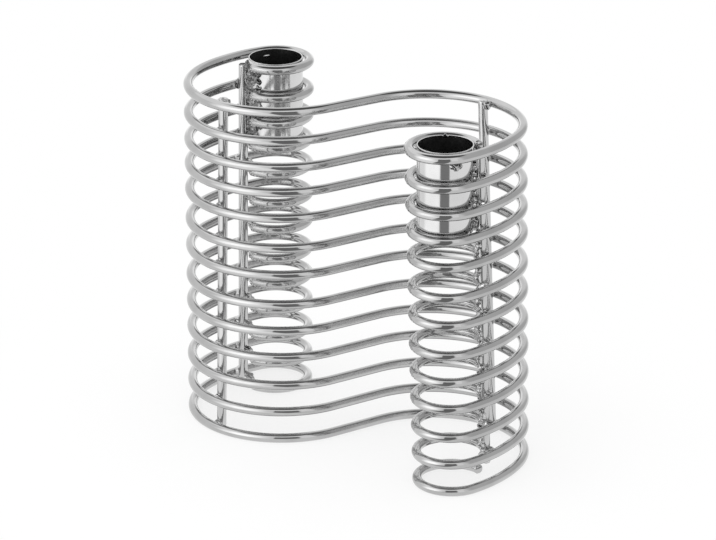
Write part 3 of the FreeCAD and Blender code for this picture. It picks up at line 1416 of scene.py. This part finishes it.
@dataclass
class Studio:
    """Table, light, reflecting cards and camera."""

    eye_height: float = 0.075
    floor_size: float = 12.0
    floor_grey: float = 0.93
    shadow_start: float = 0.09
    shadow_end: float = 0.2
    shadow_lift: float = 0.78
    ambient: float = 0.98
    lamp_power: float = 5.0
    lamp_size: float = 1.4
    lamp_aside: float = -40.0
    lamp_distance: float = 0.7
    lamp_height: float = 1.3
    aim: tuple[float, float, float] = (0.0001, 0.00054, 0.07233)
    stand: tuple[float, float, float] = (1.3525, -0.8425, 0.6148)
    lens: float = 206.1
    sensor: float = 36.0
    clip_start: float = 0.05
    strip_centre: float = 2.5
    strip_half: float = 16.0
    strip_soft: float = 2.0
    strip_start: tuple[float, float] = (0.075, 0.12)
    strip_dark: float = 0.24
    key_centre: float = -46.0
    key_half: float = 31.0
    key_soft: float = 9.0
    key_lift: float = 0.35
    least_ahead: float = 0.0001
    card_columns: int = 24
    card_rows: int = 8
    card_foot: float = 0.001
    opening_height: float = 1.2
    opening_radius: float = 0.75
    opening_core: float = 0.75
    opening_dark: float = 0.12
    opening_segments: int = 64
    cards: tuple[Card, ...] = (
        Card("dark_strip", -14.0, 19.0, 0.0, 36.0, 0.62, 0.23, 0.06, 0.05),
        Card("key_box", -96.0, -12.0, 0.0, 50.0, 0.70, 2.0, 0.42, 0.30),
        Card("near_fill", 19.0, 38.0, 0.0, 34.0, 0.72, 1.2, 0.15, 0.2),
        Card("ceiling_ring", -190.0, 50.0, 34.0, 56.0, 0.50, 1.22, 0.05, 0.25),
        Card("right_grey", 42.0, 158.0, 0.0, 74.0, 0.74, 0.69, 0.15, 0.2),
        Card("back_box", 158.0, 205.0, 0.0, 20.0, 0.78, 1.25, 0.15, 0.3),
    )

    def world(self) -> None:
        """White all round for the camera and for reflections, and an even light on everything."""
        world = bpy.data.worlds.new("white_tent")
        bpy.context.scene.world = world
        shader = Shader(world)
        seen = shader.math("MAXIMUM", shader.direct(), shader.mirrored())
        strength = shader.node("MapRange", {"Value": seen, "To Min": self.ambient, "To Max": 1.0})
        sky = shader.node("Background", {"Color": grey(1.0), "Strength": strength.outputs[0]})
        shader.node("OutputWorld", {"Surface": sky.outputs[0]})

    def floor_material(self) -> Material:
        """Pale matt table that fades to white far off and shows the dark strip in reflections.

        Returns:
            The finished material.
        """
        shader = Shader(bpy.data.materials.new("table_top"))
        where = shader.node("SeparateXYZ", {"Vector": shader.place()})
        across, along = where.outputs[0], where.outputs[1]
        distance = shader.reach(across, along)
        beyond = shader.ramp(distance, *self.strip_start)
        place = (across, along)
        strip = self.wedge(shader, place, self.strip_centre, self.strip_half, self.strip_soft)
        bright = self.wedge(shader, place, self.key_centre, self.key_half, self.key_soft)
        mirror = shader.mirrored()
        white = shader.ramp(distance, self.shadow_start, self.shadow_end, self.shadow_lift)
        share = shader.math("MAXIMUM", shader.product(white, shader.direct()), mirror)
        dark = shader.product(strip, beyond, mirror)
        lift = shader.product(bright, beyond, mirror)
        strength = shader.math("MULTIPLY_ADD", lift, self.key_lift, 1.0)
        matt = shader.node("BsdfDiffuse", {"Color": grey(self.floor_grey)}).outputs[0]
        tone = shader.blend(dark, grey(1.0), grey(self.strip_dark))
        glow = shader.node("Emission", {"Color": tone, "Strength": strength}).outputs[0]
        return shader.finish(shader.node("MixShader", {0: share, 1: matt, 2: glow}).outputs[0])

    def wedge(
            self, shader: Shader, place: tuple[NodeSocket, NodeSocket], centre: float, half: float,
            soft: float) -> NodeSocket:
        """A sector of the table, seen from its middle.

        Args:
            shader: The material that it is part of.
            place: The point's place along X and along Y.
            centre: Where the sector's middle lies, in degrees from the camera's side.
            half: Half its width in degrees.
            soft: How far its edges fade to each side, in degrees.

        Returns:
            Share from 0 outside to 1 inside.
        """
        across, along = place
        toward = ray(CAMERA_HEADING + centre)
        ahead = shader.math(
            "ADD", shader.product(across, toward.x), shader.product(along, toward.y))
        aside = shader.math("ABSOLUTE", shader.math(
            "SUBTRACT", shader.product(across, toward.y), shader.product(along, toward.x)))
        slope = shader.math("DIVIDE", aside, shader.math("MAXIMUM", ahead, self.least_ahead))
        inner = math.tan(math.radians(half - soft))
        outer = math.tan(math.radians(half + soft))
        return shader.ramp(slope, inner, outer, 1.0, 0.0)

    def floor(self) -> None:
        """The table top."""
        model = bmesh.new()
        bmesh.ops.create_grid(model, x_segments=1, y_segments=1, size=self.floor_size / 2.0)
        mesh = to_mesh(model, "table", recalculate=False)
        mesh.materials.append(self.floor_material())
        table = new_object("table", mesh)
        table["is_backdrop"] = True

    def card_material(self, card: Card) -> Material:
        """A glow that fades to nothing at the card's edges.

        Args:
            card: The card.

        Returns:
            The finished material.
        """
        shader = Shader(bpy.data.materials.new(card.name + "_glow"))
        place = shader.node("SeparateXYZ", {"Vector": shader.node("TexCoord").outputs["UV"]})
        across, along = place.outputs[0], place.outputs[1]
        near_side = shader.ramp(across, 0.0, card.side_fade)
        far_side = shader.ramp(across, 1.0 - card.side_fade, 1.0, 1.0, 0.0)
        top = shader.ramp(along, 1.0 - card.end_fade, 1.0, 1.0, 0.0)
        return shader.glow(shader.product(near_side, far_side, top), card.radiance)

    def card(self, card: Card) -> None:
        """Stands a card round the table, curved round its middle.

        Args:
            card: The card.
        """
        model = bmesh.new()
        model.loops.layers.uv.new("UVMap")
        bmesh.ops.create_grid(
            model, x_segments=self.card_columns, y_segments=self.card_rows, size=0.5, calc_uvs=True)
        bottom, top = (self.eye_height + card.distance * math.tan(math.radians(rise))
                       for rise in (card.low, card.high))
        if not card.low:
            bottom = self.card_foot
        for point in model.verts:
            across, up = point.co.x + 0.5, point.co.y + 0.5
            heading = CAMERA_HEADING + card.start + (card.end - card.start) * across
            height = bottom + (top - bottom) * up
            point.co = ray(heading, card.distance) + UP * height
        mesh = to_mesh(model, card.name, recalculate=False)
        mesh.materials.append(self.card_material(card))
        self.hang(mesh)

    def zenith(self) -> None:
        """The dark opening right over the table."""
        shader = Shader(bpy.data.materials.new("opening_glow"))
        place = shader.node("SeparateXYZ", {"Vector": shader.place()})
        distance = shader.reach(place.outputs[0], place.outputs[1])
        core = self.opening_radius * self.opening_core
        share = shader.ramp(distance, core, self.opening_radius, 1.0, 0.0)
        model = bmesh.new()
        raised = Matrix.Translation(UP * self.opening_height)
        bmesh.ops.create_circle(
            model, cap_ends=True, radius=self.opening_radius, segments=self.opening_segments,
            matrix=raised)
        mesh = to_mesh(model, "opening", recalculate=False)
        mesh.materials.append(shader.glow(share, self.opening_dark))
        self.hang(mesh)

    def hang(self, mesh: Mesh) -> None:
        """Puts up a card that only reflections show.

        Args:
            mesh: The card's mesh, with its material.
        """
        stand = new_object(mesh.name, mesh)
        for kind in ("camera", "diffuse", "transmission", "volume_scatter", "shadow"):
            setattr(stand, "visible_" + kind, False)
        stand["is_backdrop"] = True

    def lamp(self) -> None:
        """A broad soft lamp from the upper left, for the shadow on the table."""
        light = bpy.data.lights.new("soft_lamp", "AREA")
        light.shape = "DISK"
        light.size = self.lamp_size
        light.energy = self.lamp_power
        lamp = new_object("soft_lamp", light)
        place = ray(CAMERA_HEADING + self.lamp_aside, self.lamp_distance)
        lamp.location = at_height(place, self.lamp_height)
        lamp.rotation_euler = (Vector(self.aim) - lamp.location).to_track_quat("-Z", "Y").to_euler()
        lamp.visible_glossy = False

    def camera(self) -> None:
        """The camera, where the photograph was taken from."""
        view = bpy.data.cameras.new("view")
        view.sensor_width = self.sensor
        view.lens = self.lens
        view.clip_start = self.clip_start
        camera = new_object("view", view)
        stand = Vector(self.stand)
        camera.location = Vector(self.aim) + stand
        camera.rotation_euler = (-stand).to_track_quat("-Z", "Y").to_euler()
        bpy.context.scene.camera = camera

    def build(self) -> None:
        """Sets the whole studio up."""
        self.world()
        self.floor()
        for card in self.cards:
            self.card(card)
        self.zenith()
        self.lamp()
        self.camera()
        bpy.context.scene.view_settings.view_transform = "Standard"
        LOG.info("studio: %d cards", len(self.cards))


def main() -> None:
    """Builds the holder and the studio."""
    logging.basicConfig(level=logging.INFO, format="%(message)s")
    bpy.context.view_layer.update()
    finishes = Finishes()
    shop = Workshop()
    stack = Stack()
    uprights = Uprights(stack, finishes.rod)
    ScrollWires(stack, finishes.wire).build(shop)
    uprights.build(shop)
    Cups(stack, finishes.cup, finishes.cup_inside).build(shop)
    weld_finishes = {Side.LEFT: finishes.burnt_weld, Side.RIGHT: finishes.weld}
    Welds(stack, uprights, WeldSkin(stack), weld_finishes).build(shop)
    Studio().build()


if __name__ == "__main__":
    main()
